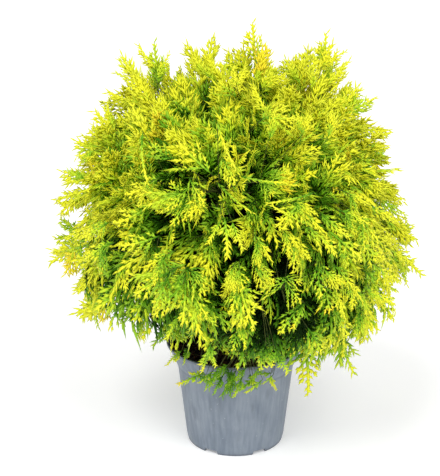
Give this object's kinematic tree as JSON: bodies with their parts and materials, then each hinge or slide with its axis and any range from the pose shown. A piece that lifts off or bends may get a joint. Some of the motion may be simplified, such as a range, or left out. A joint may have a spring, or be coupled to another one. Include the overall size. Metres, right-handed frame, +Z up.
{
  "type": "potted thuja",
  "caption": "Golden globe-shaped thuja shrub with a short trunk, spreading boughs and separate masses of flat sprays, growing in a round tapered nursery pot filled with potting mix",
  "frame": {"origin": "on the ground under the middle of the pot", "axes": "+Z up along the trunk; -Y is the front that the plant shows; +X is to the right seen from the front"},
  "size_m": [0.5361, 0.5241, 0.626],
  "materials": {
    "pot_plastic": "thin blue-grey moulded nursery-pot plastic, slightly scuffed",
    "potting_mix": "dark damp potting mix with bark chips",
    "bark": "thin grey-brown fibrous bark",
    "foliage": "flat scale-leaved sprays, golden yellow at the tips and deep green inside"
  },
  "bodies": {
    "root": {"bough_lower_1": "bark", "bough_lower_2": "bark", "bough_lower_3": "bark", "bough_lower_4": "bark", "bough_lower_5": "bark", "bough_lower_6": "bark", "bough_lower_7": "bark", "bough_middle_1": "bark", "bough_middle_2": "bark", "bough_middle_3": "bark", "bough_middle_4": "bark", "bough_middle_5": "bark", "bough_middle_6": "bark", "bough_middle_7": "bark", "bough_top_1": "bark", "bough_upper_1": "bark", "bough_upper_2": "bark", "bough_upper_3": "bark", "bough_upper_4": "bark", "bough_upper_5": "bark", "foliage_lower_1": "foliage", "foliage_lower_2": "foliage", "foliage_lower_3": "foliage", "foliage_lower_4": "foliage", "foliage_lower_5": "foliage", "foliage_lower_6": "foliage", "foliage_lower_7": "foliage", "foliage_middle_1": "foliage", "foliage_middle_2": "foliage", "foliage_middle_3": "foliage", "foliage_middle_4": "foliage", "foliage_middle_5": "foliage", "foliage_middle_6": "foliage", "foliage_middle_7": "foliage", "foliage_top_1": "foliage", "foliage_upper_1": "foliage", "foliage_upper_2": "foliage", "foliage_upper_3": "foliage", "foliage_upper_4": "foliage", "foliage_upper_5": "foliage", "pot": "pot_plastic", "soil": "potting_mix", "trunk": "bark"}
  },
  "joints": []
}
